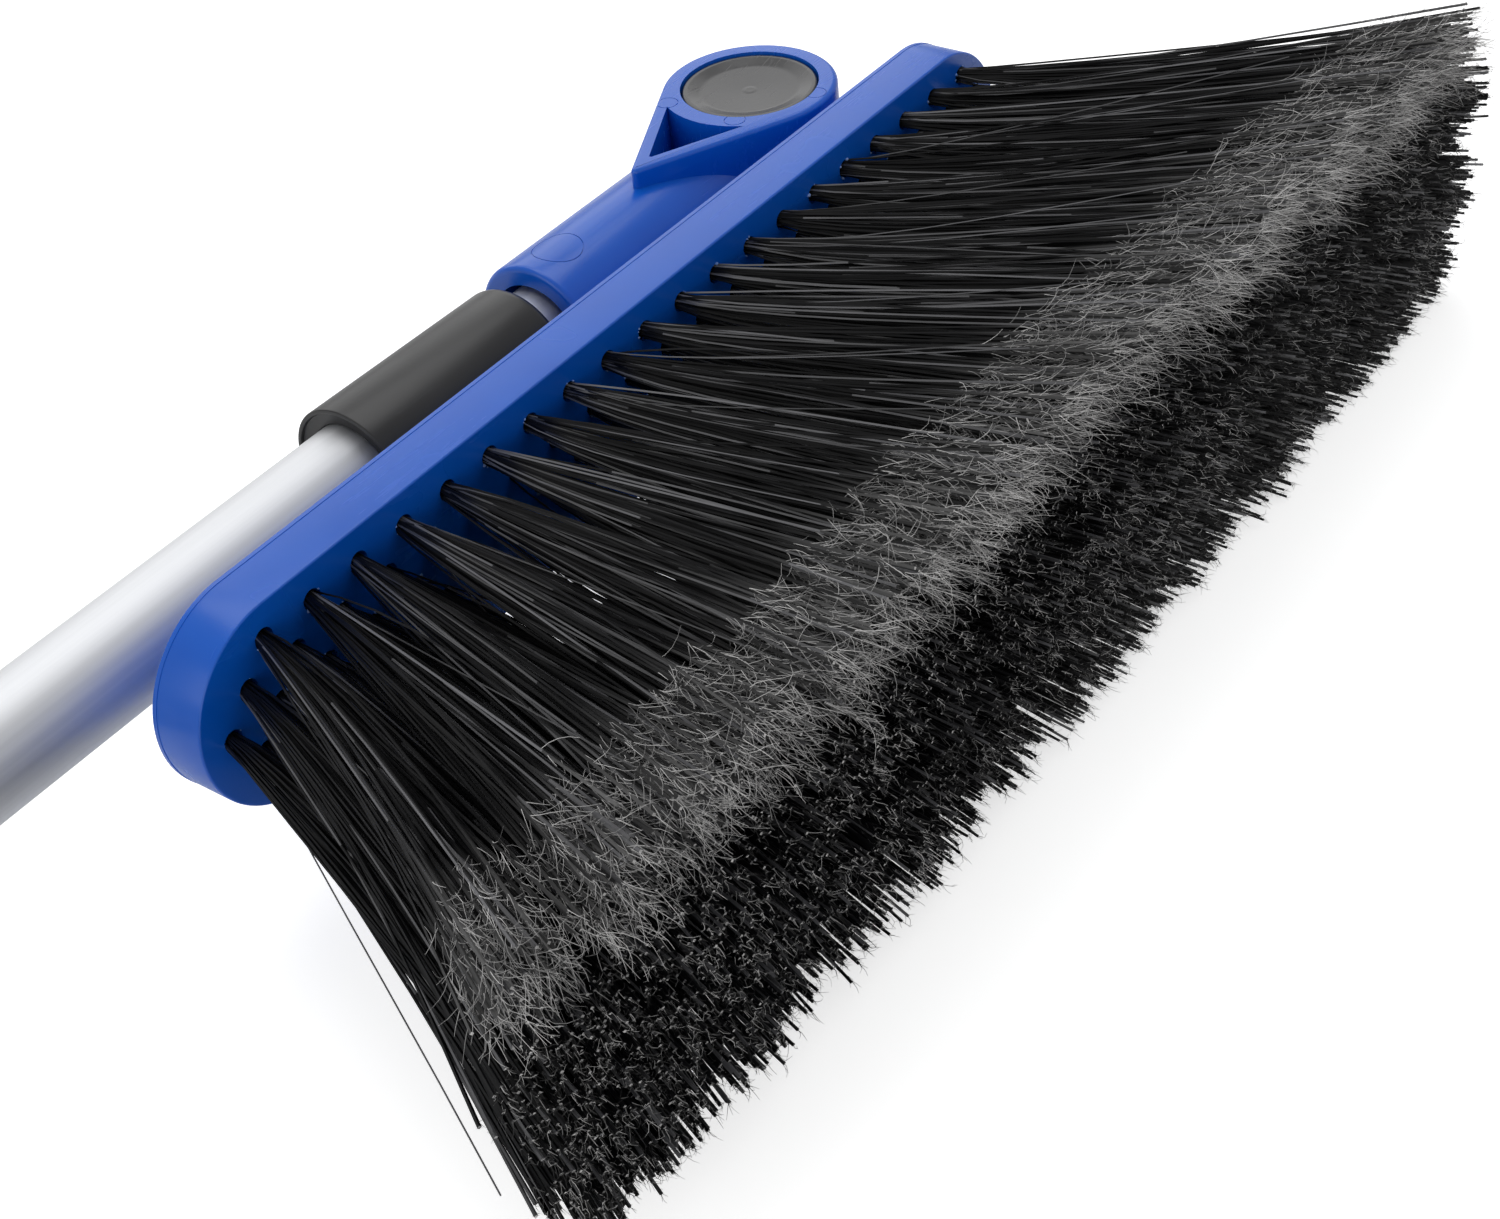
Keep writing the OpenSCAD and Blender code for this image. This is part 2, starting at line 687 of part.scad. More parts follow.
outer_tube();
collar();
collar_bush();
foam_grip();
scraper_holder();
holder_pin();
scraper_blade();
blade_rivets();
lock_sleeve();
lock_plug();
lock_washer();
lock_screw();
inner_tube();
yoke();
yoke_rivet();
button_cap();
lock_gear();
button_spring();
stop_washer();
stop_screw();
pivot_washer();
retaining_clip();
pivot_bracket();
bracket_screws();
brush_block();
tuft_anchors();
tuft_row(0);  // tuft_row_1
tuft_row(1);  // tuft_row_2
tuft_row(2);  // tuft_row_3
tuft_row(3);  // tuft_row_4
tuft_row(4);  // tuft_row_5
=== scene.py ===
# Snow brush with a pivoting head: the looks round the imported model.
import json
import math
import random

import bmesh
import bpy
from mathutils import Matrix, Quaternion, Vector


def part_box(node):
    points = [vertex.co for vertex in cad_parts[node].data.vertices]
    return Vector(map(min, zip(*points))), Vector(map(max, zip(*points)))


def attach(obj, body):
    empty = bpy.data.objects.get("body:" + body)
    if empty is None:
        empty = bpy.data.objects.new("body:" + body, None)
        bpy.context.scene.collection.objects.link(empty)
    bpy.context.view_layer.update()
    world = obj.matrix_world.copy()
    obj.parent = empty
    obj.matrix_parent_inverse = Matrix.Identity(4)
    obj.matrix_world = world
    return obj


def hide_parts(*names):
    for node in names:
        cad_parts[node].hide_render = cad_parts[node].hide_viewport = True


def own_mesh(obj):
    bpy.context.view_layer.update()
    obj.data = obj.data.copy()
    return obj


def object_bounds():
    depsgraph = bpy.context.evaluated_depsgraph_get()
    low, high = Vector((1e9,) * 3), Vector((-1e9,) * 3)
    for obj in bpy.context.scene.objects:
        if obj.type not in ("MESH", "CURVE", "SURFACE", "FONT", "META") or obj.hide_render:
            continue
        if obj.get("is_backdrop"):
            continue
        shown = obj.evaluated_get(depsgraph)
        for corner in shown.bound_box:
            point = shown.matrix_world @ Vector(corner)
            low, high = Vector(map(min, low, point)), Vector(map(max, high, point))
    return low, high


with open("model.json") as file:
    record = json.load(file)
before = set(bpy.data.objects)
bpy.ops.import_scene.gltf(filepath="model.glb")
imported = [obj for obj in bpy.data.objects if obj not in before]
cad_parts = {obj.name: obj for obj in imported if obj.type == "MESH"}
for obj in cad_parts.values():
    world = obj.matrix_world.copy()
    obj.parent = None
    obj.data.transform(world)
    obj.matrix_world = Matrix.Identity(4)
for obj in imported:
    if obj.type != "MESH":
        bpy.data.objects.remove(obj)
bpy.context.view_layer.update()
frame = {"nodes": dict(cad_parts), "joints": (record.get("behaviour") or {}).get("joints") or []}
print("frame loaded")

mm = 0.001
joints = {j["name"]: j for j in frame["joints"]}
pivot = Vector(joints["head_pivot"]["pos_m"])


camera = dict(place=(0.2102, -0.3519, 0.3078), turn=(50.576, 5.406, -54.592), lens=55.73,
              sensor=36, nearest=0.01)


def makeCamera():
    data = bpy.data.cameras.new("camera")
    data.lens = camera["lens"]
    data.sensor_width = camera["sensor"]
    data.clip_start = camera["nearest"]
    ob = bpy.data.objects.new("camera", data)
    ob.location = camera["place"]
    ob.rotation_euler = [math.radians(a) for a in camera["turn"]]
    bpy.context.collection.objects.link(ob)
    bpy.context.scene.camera = ob


floor = dict(size=6, middle=0.4, dark=(0.86, 0.865, 0.87), light=(0.9, 0.9, 0.9), lift=0.62)


# one value for what the camera sees directly, another for what lights the brush
def cameraOnly(tree, seen, unseen):
    path = tree.nodes.new("ShaderNodeLightPath")
    return addRange(tree, path.outputs["Is Camera Ray"], 0, 1, unseen, seen)


def makeFloor(z):
    bm = bmesh.new()
    bmesh.ops.create_grid(bm, x_segments=1, y_segments=1, size=floor["size"])
    bmesh.ops.translate(bm, verts=bm.verts, vec=(floor["middle"], 0, z))
    mesh = bpy.data.meshes.new("floor")
    bm.to_mesh(mesh)
    bm.free()
    ob = bpy.data.objects.new("floor", mesh)
    bpy.context.collection.objects.link(ob)
    mat = newMaterial("paperSweep")
    tree = mat.node_tree
    mottle = addNoise(tree, 3.0, 3, 0.5)
    paper = addRamp(tree, mottle, [(0.3, floor["dark"]), (0.7, floor["light"])])
    bsdf = tree.nodes["Principled BSDF"]
    tree.links.new(paper, bsdf.inputs["Base Color"])
    bsdf.inputs["Roughness"].default_value = 0.9
    bsdf.inputs["Specular IOR Level"].default_value = 0.1
    bsdf.inputs["Emission Color"].default_value = (1, 1, 1, 1)
    tree.links.new(cameraOnly(tree, floor["lift"], 0.0), bsdf.inputs["Emission Strength"])
    mesh.materials.append(mat)
    ob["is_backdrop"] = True


# radiance is the brightness of the panel itself, so a larger panel gives more light
worldLight = 0.5
lights = dict(
    overhead=dict(place=(0.9, 0.35, 1.4), aim=(0.6, -0.05, 0), size=(1.5, 1.0), radiance=1.65),
    backWall=dict(place=(1.5, 1.4, 0.9), aim=(0.6, 0, 0), size=(2.2, 1.2), radiance=1.0),
    leftFill=dict(place=(-0.9, 0.4, 0.6), aim=(0.5, 0, 0), size=(0.9, 0.8), radiance=1.0),
    tubeFill=dict(place=(-0.5, -0.75, 0.3), aim=(0.2, 0, 0), size=(0.7, 0.6), radiance=1.1),
)


def areaLight(name, spec):
    data = bpy.data.lights.new(name, "AREA")
    data.shape = "RECTANGLE"
    data.size, data.size_y = spec["size"]
    data.energy = spec["radiance"] * math.pi * spec["size"][0] * spec["size"][1]
    ob = bpy.data.objects.new(name, data)
    ob.location = spec["place"]
    towards = Vector(spec["aim"]) - Vector(spec["place"])
    ob.rotation_euler = towards.to_track_quat("-Z", "Y").to_euler()
    bpy.context.collection.objects.link(ob)


def makeLights():
    world = bpy.data.worlds.new("studio")
    world.use_nodes = True
    tree = world.node_tree
    sky = tree.nodes["Background"]
    sky.inputs["Color"].default_value = (1, 1, 1, 1)
    tree.links.new(cameraOnly(tree, 1.0, worldLight), sky.inputs["Strength"])
    bpy.context.scene.world = world
    bpy.context.scene.view_settings.view_transform = "Standard"
    for name, spec in lights.items():
        areaLight(name, spec)


def newMaterial(name):
    mat = bpy.data.materials.new(name)
    mat.use_nodes = True
    return mat


def addNode(tree, kind, **inputs):
    node = tree.nodes.new(kind)
    for key, value in inputs.items():
        node.inputs[key.replace("_", " ")].default_value = value
    return node


def objectCoords(tree, scale=(1, 1, 1)):
    coords = tree.nodes.new("ShaderNodeTexCoord")
    mapping = tree.nodes.new("ShaderNodeMapping")
    mapping.inputs["Scale"].default_value = scale
    tree.links.new(coords.outputs["Object"], mapping.inputs["Vector"])
    return mapping.outputs["Vector"]


def addNoise(tree, scale, detail, rough, stretch=(1, 1, 1), distortion=0.0):
    node = addNode(tree, "ShaderNodeTexNoise", Scale=scale, Detail=detail, Roughness=rough,
                   Distortion=distortion)
    tree.links.new(objectCoords(tree, stretch), node.inputs["Vector"])
    return node.outputs["Fac"]


def addRamp(tree, value, stops):
    ramp = tree.nodes.new("ShaderNodeValToRGB")
    points = ramp.color_ramp.elements
    while len(points) < len(stops):
        points.new(0.5)
    for point, (place, colour) in zip(points, stops):
        point.position = place
        point.color = (*colour, 1) if isinstance(colour, tuple) else (colour, colour, colour, 1)
    tree.links.new(value, ramp.inputs["Fac"])
    return ramp.outputs["Color"]


def addRange(tree, value, low, high, newLow, newHigh):
    node = addNode(tree, "ShaderNodeMapRange")
    node.inputs["From Min"].default_value = low
    node.inputs["From Max"].default_value = high
    node.inputs["To Min"].default_value = newLow
    node.inputs["To Max"].default_value = newHigh
    tree.links.new(value, node.inputs["Value"])
    return node.outputs["Result"]


def addMath(tree, operation, a, b):
    node = tree.nodes.new("ShaderNodeMath")
    node.operation = operation
    for socket, value in zip(node.inputs, (a, b)):
        if isinstance(value, (int, float)):
            socket.default_value = value
        else:
            tree.links.new(value, socket)
    return node.outputs["Value"]


def addMix(tree, factor, a, b):
    node = tree.nodes.new("ShaderNodeMix")
    node.data_type = "RGBA"
    tree.links.new(factor, node.inputs["Factor"])
    for socket, value in ((node.inputs["A"], a), (node.inputs["B"], b)):
        if isinstance(value, tuple):
            socket.default_value = (*value, 1)
        else:
            tree.links.new(value, socket)
    return node.outputs["Result"]


def addBump(tree, height, strength, distance):
    node = addNode(tree, "ShaderNodeBump", Strength=strength, Distance=distance)
    tree.links.new(height, node.inputs["Height"])
    return node.outputs["Normal"]


def useGroup(tree, group, **values):
    node = tree.nodes.new("ShaderNodeGroup")
    node.node_tree = group
    for key, value in values.items():
        node.inputs[key.replace("_", " ")].default_value = value
    return node


def newGroup(name, inputs, outputs):
    group = bpy.data.node_groups.new(name, "ShaderNodeTree")
    for label, default in inputs.items():
        socket = group.interface.new_socket(label, in_out="INPUT", socket_type="NodeSocketFloat")
        socket.default_value = default
    for label in outputs:
        group.interface.new_socket(label, in_out="OUTPUT", socket_type="NodeSocketFloat")
    return group, group.nodes.new("NodeGroupInput"), group.nodes.new("NodeGroupOutput")


# fine scratches in three directions, only in patches
def makeScuffGroup():
    group, given, result = newGroup("scuffs", {"Scale": 60.0, "Amount": 0.5}, ["Mask", "Height"])
    coords = group.nodes.new("ShaderNodeTexCoord")
    masks = []
    for turn in (0.3, 1.5, 2.4):
        mapping = group.nodes.new("ShaderNodeMapping")
        mapping.inputs["Rotation"].default_value = (turn, turn * 0.7, turn * 1.3)
        mapping.inputs["Scale"].default_value = (1, 14, 3)
        group.links.new(coords.outputs["Object"], mapping.inputs["Vector"])
        lines = group.nodes.new("ShaderNodeTexNoise")
        lines.inputs["Detail"].default_value = 3
        lines.inputs["Roughness"].default_value = 0.6
        group.links.new(mapping.outputs["Vector"], lines.inputs["Vector"])
        group.links.new(given.outputs["Scale"], lines.inputs["Scale"])
        masks.append(addRange(group, lines.outputs["Fac"], 0.62, 0.72, 0, 1))
    top = addMath(group, "MAXIMUM", addMath(group, "MAXIMUM", masks[0], masks[1]), masks[2])
    patches = addNode(group, "ShaderNodeTexNoise", Scale=18.0, Detail=2.0)
    group.links.new(coords.outputs["Object"], patches.inputs["Vector"])
    where = addRange(group, patches.outputs["Fac"], 0.45, 0.65, 0, 1)
    patchy = addMath(group, "MULTIPLY", top, where)
    mask = addMath(group, "MULTIPLY", patchy, given.outputs["Amount"])
    group.links.new(mask, result.inputs["Mask"])
    group.links.new(addMath(group, "MULTIPLY", mask, -1.0), result.inputs["Height"])
    return group


# the fine grain and the slow unevenness of a moulded surface
def makeMouldGroup():
    group, given, result = newGroup("mouldGrain", {"Scale": 900.0, "Waves": 35.0},
                                    ["Grain", "Cloud"])
    coords = group.nodes.new("ShaderNodeTexCoord")
    for label, socket, detail in (("Grain", "Scale", 4), ("Cloud", "Waves", 2)):
        node = addNode(group, "ShaderNodeTexNoise", Detail=float(detail), Roughness=0.55)
        group.links.new(coords.outputs["Object"], node.inputs["Vector"])
        group.links.new(given.outputs[socket], node.inputs["Scale"])
        group.links.new(node.outputs["Fac"], result.inputs[label])
    return group


scuffGroup = makeScuffGroup()
mouldGroup = makeMouldGroup()


plastics = dict(
    bluePlastic=dict(dark=(0.001, 0.096, 0.54), light=(0.002, 0.112, 0.6), rough=0.25,
                     grain=0.10, scuffs=0.45),
    blackPlastic=dict(dark=(0.011, 0.011, 0.012), light=(0.016, 0.016, 0.017), rough=0.33,
                      grain=0.1, scuffs=0.3),
    charcoalPlastic=dict(dark=(0.026, 0.026, 0.028), light=(0.036, 0.036, 0.038), rough=0.2,
                         grain=0.1, scuffs=0.6),
    greyPlastic=dict(dark=(0.16, 0.16, 0.17), light=(0.2, 0.2, 0.21), rough=0.5,
                     grain=0.15, scuffs=0.3),
    blueBurr=dict(dark=(0.12, 0.25, 0.6), light=(0.3, 0.42, 0.75), rough=0.5,
                  grain=0.2, scuffs=0.0),
)


def mouldedPlastic(name):
    dark, light, rough, grain, scuffs = plastics[name].values()
    mat = newMaterial(name)
    tree = mat.node_tree
    bsdf = tree.nodes["Principled BSDF"]
    mould = useGroup(tree, mouldGroup)
    worn = useGroup(tree, scuffGroup, Amount=scuffs)
    base = addRamp(tree, mould.outputs["Cloud"], [(0.3, dark), (0.7, light)])
    pale = tuple(min(1, c * 1.5 + 0.06) for c in light)
    faint = addMath(tree, "MULTIPLY", worn.outputs["Mask"], 0.35)
    tree.links.new(addMix(tree, faint, base, pale), bsdf.inputs["Base Color"])
    uneven = addRange(tree, mould.outputs["Cloud"], 0.3, 0.7, rough - 0.04, rough + 0.04)
    dulled = addMath(tree, "MULTIPLY", worn.outputs["Mask"], 0.25)
    tree.links.new(addMath(tree, "ADD", uneven, dulled), bsdf.inputs["Roughness"])
    scratched = addMath(tree, "MULTIPLY", worn.outputs["Height"], 1.5)
    height = addMath(tree, "ADD", mould.outputs["Grain"], scratched)
    tree.links.new(addBump(tree, height, grain, 0.0002), bsdf.inputs["Normal"])
    bsdf.inputs["Specular IOR Level"].default_value = 0.5
    return mat


# light goes a little way into the blue plastic
def bluePlastic():
    mat = mouldedPlastic("bluePlastic")
    bsdf = mat.node_tree.nodes["Principled BSDF"]
    bsdf.inputs["Subsurface Weight"].default_value = 0.12
    bsdf.inputs["Subsurface Radius"].default_value = (0.2, 0.5, 1.0)
    bsdf.inputs["Subsurface Scale"].default_value = 0.002
    return mat


tubeMetal = dict(dark=(0.7, 0.71, 0.73), light=(0.8, 0.81, 0.83), rough=(0.52, 0.62),
                 cloudy=(-0.03, 0.05), bump=0.05)


# drawing lines run along the tube
def drawnAluminium():
    mat = newMaterial("drawnAluminium")
    tree = mat.node_tree
    bsdf = tree.nodes["Principled BSDF"]
    streaks = addNoise(tree, 380, 4, 0.6, (0.02, 1, 1))
    cloud = addNoise(tree, 9, 3, 0.5, (0.25, 1, 1))
    colour = addRamp(tree, streaks, [(0.3, tubeMetal["dark"]), (0.7, tubeMetal["light"])])
    tree.links.new(colour, bsdf.inputs["Base Color"])
    rough = addMath(tree, "ADD", addRange(tree, streaks, 0.3, 0.7, *tubeMetal["rough"]),
                    addRange(tree, cloud, 0.3, 0.7, *tubeMetal["cloudy"]))
    tree.links.new(rough, bsdf.inputs["Roughness"])
    bsdf.inputs["Metallic"].default_value = 1
    tree.links.new(addBump(tree, streaks, tubeMetal["bump"], 0.0003), bsdf.inputs["Normal"])
    return mat


grainyMetals = dict(
    platedSteel=dict(scale=700, detail=3, soft=0.6, ends=(0.35, 0.65), dark=(0.46, 0.47, 0.48),
                     light=(0.6, 0.6, 0.61), rough=(0.25, 0.42), bump=0.1),
    castZinc=dict(scale=1500, detail=5, soft=0.7, ends=(0.3, 0.7), dark=(0.4, 0.4, 0.42),
                  light=(0.55, 0.55, 0.57), rough=(0.4, 0.55), bump=0.3),
)


def grainyMetal(name):
    spec = grainyMetals[name]
    mat = newMaterial(name)
    tree = mat.node_tree
    bsdf = tree.nodes["Principled BSDF"]
    spots = addNoise(tree, spec["scale"], spec["detail"], spec["soft"])
    colour = addRamp(tree, spots, list(zip(spec["ends"], (spec["dark"], spec["light"]))))
    tree.links.new(colour, bsdf.inputs["Base Color"])
    tree.links.new(addRange(tree, spots, 0.3, 0.7, *spec["rough"]), bsdf.inputs["Roughness"])
    bsdf.inputs["Metallic"].default_value = 1
    tree.links.new(addBump(tree, spots, spec["bump"], 0.0002), bsdf.inputs["Normal"])
    return mat


foamCells = dict(scale=1600, dark=0.014, light=0.028, rough=(0.95, 0.7), bump=0.5)


def blackFoam():
    mat = newMaterial("blackFoam")
    tree = mat.node_tree
    bsdf = tree.nodes["Principled BSDF"]
    cells = tree.nodes.new("ShaderNodeTexVoronoi")
    cells.inputs["Scale"].default_value = foamCells["scale"]
    tree.links.new(objectCoords(tree), cells.inputs["Vector"])
    soft = addNoise(tree, 60, 3, 0.5)
    colour = addRamp(tree, soft, [(0.3, foamCells["dark"]), (0.7, foamCells["light"])])
    tree.links.new(colour, bsdf.inputs["Base Color"])
    wall = cells.outputs["Distance"]
    tree.links.new(addRange(tree, wall, 0, 0.7, *foamCells["rough"]), bsdf.inputs["Roughness"])
    height = addMath(tree, "ADD", wall, addMath(tree, "MULTIPLY", soft, 1.5))
    tree.links.new(addBump(tree, height, foamCells["bump"], 0.0004), bsdf.inputs["Normal"])
    bsdf.inputs["Specular IOR Level"].default_value = 0.25
    return mat


bladeTint = dict(dark=(0.42, 0.62, 0.93), light=(0.5, 0.7, 0.96), rough=(0.06, 0.4), scratches=0.8)


def clearBlade():
    mat = newMaterial("clearBlade")
    tree = mat.node_tree
    bsdf = tree.nodes["Principled BSDF"]
    worn = useGroup(tree, scuffGroup, Amount=bladeTint["scratches"])
    cloud = addNoise(tree, 25, 2, 0.5)
    colour = addRamp(tree, cloud, [(0.3, bladeTint["dark"]), (0.7, bladeTint["light"])])
    tree.links.new(colour, bsdf.inputs["Base Color"])
    dulled = addRange(tree, worn.outputs["Mask"], 0, 1, *bladeTint["rough"])
    tree.links.new(dulled, bsdf.inputs["Roughness"])
    bsdf.inputs["Transmission Weight"].default_value = 0.9
    bsdf.inputs["IOR"].default_value = 1.5
    return mat


# turn and share place the middle tone; frayed is the pale colour that a strand ends in
bristleTones = dict(
    bristleBlack=dict(dark=(0.0012, 0.0012, 0.0016), light=(0.008, 0.008, 0.009), rough=0.3,
                      sheen=0.22),
    bristleFrayed=dict(dark=(0.0012, 0.0012, 0.0016), light=(0.008, 0.008, 0.009), rough=0.3,
                       sheen=0.22, frayed=(0.13, 0.129, 0.128), frayFrom=-0.12, frayTo=-0.148),
    # the shinier strands' pale base colour is a painted highlight on black bristles; their higher
    # sheen and lower roughness are real
    bristlePaintedHighlight=dict(dark=(0.02, 0.02, 0.022), light=(0.14, 0.14, 0.15), rough=0.24, sheen=1.0),
    bristleCutEnd=dict(dark=(0.09, 0.09, 0.09), light=(0.62, 0.61, 0.6), rough=0.6, sheen=0.3),
    splitTipGrey=dict(dark=(0.2, 0.198, 0.197), light=(0.76, 0.75, 0.74), rough=0.55, sheen=0.3),
    # the inner rows' split fibres are the same as the grey ones, kept near black as painted shade
    # on the shaded tip face
    splitTipPaintedShade=dict(dark=(0.003, 0.003, 0.003), light=(0.78, 0.77, 0.76), rough=0.5, sheen=0.3,
                       turn=0.7, share=0.1),
)


# each strand is an island of its own mesh, and has its own tone
def bristleMaterial(name, dark, light, rough, sheen, turn=0.55, share=0.5, frayed=None,
                    frayFrom=0.0, frayTo=0.0):
    mat = newMaterial(name)
    tree = mat.node_tree
    bsdf = tree.nodes["Principled BSDF"]
    strand = tree.nodes.new("ShaderNodeNewGeometry").outputs["Random Per Island"]
    patches = addRange(tree, addNoise(tree, 55, 3, 0.6), 0.3, 0.7, -0.25, 0.25)
    tone = addMath(tree, "ADD", strand, patches)
    between = tuple(a + (b - a) * share for a, b in zip(dark, light))
    base = addRamp(tree, tone, [(0.0, dark), (turn, between), (1.0, light)])
    if frayed:
        place = tree.nodes.new("ShaderNodeSeparateXYZ")
        tree.links.new(objectCoords(tree), place.inputs["Vector"])
        nearTip = addRange(tree, place.outputs["Y"], frayFrom, frayTo, 0, 1)
        base = addMix(tree, addMath(tree, "MULTIPLY", nearTip, strand), base, frayed)
    tree.links.new(base, bsdf.inputs["Base Color"])
    uneven = addRange(tree, strand, 0, 1, rough - 0.06, rough + 0.12)
    tree.links.new(uneven, bsdf.inputs["Roughness"])
    bsdf.inputs["Specular IOR Level"].default_value = sheen
    return mat


blue = bluePlastic()
black = mouldedPlastic("blackPlastic")
charcoal = mouldedPlastic("charcoalPlastic")
grey = mouldedPlastic("greyPlastic")
burrBlue = mouldedPlastic("blueBurr")
aluminium = drawnAluminium()
steel = grainyMetal("platedSteel")
zinc = grainyMetal("castZinc")
foam = blackFoam()
clear = clearBlade()
hair = {name: bristleMaterial(name, **tone) for name, tone in bristleTones.items()}
print("materials made")


def smoothByAngle(bm, degrees):
    limit = math.radians(degrees)
    for face in bm.faces:
        face.smooth = True
    for edge in bm.edges:
        edge.smooth = not (edge.is_manifold and edge.calc_face_angle(0) > limit)


def finishPiece(bm, name, body, material, replaces=(), angle=35, merge=True):
    if merge:
        bmesh.ops.remove_doubles(bm, verts=bm.verts, dist=1e-6)
        bmesh.ops.recalc_face_normals(bm, faces=bm.faces)
    smoothByAngle(bm, angle)
    mesh = bpy.data.meshes.new(name)
    bm.to_mesh(mesh)
    bm.free()
    mesh.materials.append(material)
    ob = bpy.data.objects.new(name, mesh)
    bpy.context.collection.objects.link(ob)
    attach(ob, body)
    if replaces:
        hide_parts(*replaces)
    return ob


# a closed outline from (along, out, rounding, steps) corners
def roundedProfile(points):
    out = []
    count = len(points)
    for i, (a, b, r, steps) in enumerate(points):
        here = Vector((a, b))
        if not r:
            out.append(here)
            continue
        before = (Vector(points[i - 1][:2]) - here).normalized()
        after = (Vector(points[(i + 1) % count][:2]) - here).normalized()
        half = before.angle(after) / 2
        reach = r / math.tan(half)
        centre = here + (before + after).normalized() * (r / math.sin(half))
        start = here + before * reach - centre
        sweep = start.angle_signed(here + after * reach - centre)
        for s in range(steps + 1):
            turned = start.copy()
            turned.rotate(Matrix.Rotation(-sweep * s / steps, 2))
            out.append(centre + turned)
    return out


def latheMesh(profile, axis, origin, steps=96):
    bm = bmesh.new()
    along, out = Vector((0, 0, 1)), Vector((1, 0, 0))
    if axis == "X":
        along, out = out, along
    ring = [bm.verts.new(origin + along * p[0] + out * p[1]) for p in roundedProfile(profile)]
    radii = [(v.co - origin).dot(out) for v in ring]
    pairs = [(i, (i + 1) % len(ring)) for i in range(len(ring))]
    # an edge that lies on the axis would spin into nothing
    edges = [bm.edges.new((ring[a], ring[b])) for a, b in pairs if max(radii[a], radii[b]) > 1e-7]
    bmesh.ops.spin(bm, geom=ring + edges, cent=origin, axis=along, angle=math.tau, steps=steps,
                   use_merge=True)
    bmesh.ops.remove_doubles(bm, verts=bm.verts, dist=1e-6)
    bmesh.ops.dissolve_degenerate(bm, dist=1e-6, edges=bm.edges)
    bmesh.ops.recalc_face_normals(bm, faces=bm.faces)
    return bm


def booleanWith(target, cutter, operation):
    modifier = target.modifiers.new("cut", "BOOLEAN")
    modifier.operation = operation
    modifier.solver = "MANIFOLD"
    modifier.object = cutter
    applyModifiers(target)
    bpy.data.objects.remove(cutter)


def applyModifiers(ob):
    graph = bpy.context.evaluated_depsgraph_get()
    mesh = bpy.data.meshes.new_from_object(ob.evaluated_get(graph))
    old = ob.data
    ob.modifiers.clear()
    ob.data = mesh
    bpy.data.meshes.remove(old)


def looseObject(bm, name):
    mesh = bpy.data.meshes.new(name)
    bm.to_mesh(mesh)
    bm.free()
    ob = bpy.data.objects.new(name, mesh)
    bpy.context.collection.objects.link(ob)
    return ob


def fineEdges(ob, width, segments=2, angle=35):
    modifier = ob.modifiers.new("edges", "BEVEL")
    modifier.width = width
    modifier.segments = segments
    modifier.limit_method = "ANGLE"
    modifier.angle_limit = math.radians(angle)
    modifier.use_clamp_overlap = True
    modifier.miter_outer = "MITER_ARC"
    applyModifiers(ob)


def finishObject(ob, body, material, replaces=(), angle=35):
    bm = bmesh.new()
    bm.from_mesh(ob.data)
    name = ob.name
    bpy.data.objects.remove(ob)
    return finishPiece(bm, name, body, material, replaces, angle)


# a CAD part's own shape with its sharp edges broken
def softenedCopy(node, width, material, body, segments=2):
    source = frame["nodes"][node]
    bm = bmesh.new()
    bm.from_mesh(source.data)
    bmesh.ops.remove_doubles(bm, verts=bm.verts, dist=2e-6)
    bmesh.ops.dissolve_limit(bm, angle_limit=math.radians(0.6), verts=bm.verts, edges=bm.edges)
    ob = looseObject(bm, node + "Soft")
    fineEdges(ob, width, segments)
    return finishObject(ob, body, material, (node,))


block = dict(frontEdge=0.55 * mm, backEdge=0.35 * mm, lip=0.12 * mm, lipDepth=1.3 * mm, ends=96,
             pitch=14.12 * mm, rowPitch=8.35 * mm, rowShift=3 * mm, shortest=20,
             holeRadius=2.5 * mm, holeDepth=8.5 * mm, drillStart=2 * mm)
blockLow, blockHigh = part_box("brush_block")
blockMid = (blockLow + blockHigh) / 2
blockHalf = (blockHigh - blockLow) / 2


# each row further in starts half a pitch nearer the block's near end
def tuftPlaces():
    rows = []
    for row in range(5):
        inward = 2 - abs(row - 2)
        count = block["shortest"] + (1 if inward else 0)
        pitches = (block["shortest"] - 1 + inward) / 2
        first = blockMid.x + block["rowShift"] - block["pitch"] * pitches
        z = blockMid.z + block["rowPitch"] * (2 - row)
        rows.append([(first + block["pitch"] * i, z) for i in range(count)])
    return rows


# a flat plate with half-round ends
def stadium(bm, y, radius):
    straight = blockHalf.x - blockHalf.z
    made = bmesh.ops.create_circle(bm, cap_ends=True, segments=block["ends"], radius=radius)
    turn = Matrix.Rotation(math.pi / block["ends"], 4, "Z")
    bmesh.ops.transform(bm, matrix=turn, verts=made["verts"])
    bmesh.ops.rotate(bm, verts=made["verts"], matrix=Matrix.Rotation(math.pi / 2, 3, "X"))
    for vert in made["verts"]:
        vert.co.x += straight if vert.co.x > 0 else -straight
    bmesh.ops.translate(bm, verts=made["verts"], vec=(blockMid.x, y, blockMid.z))
    return made["verts"]


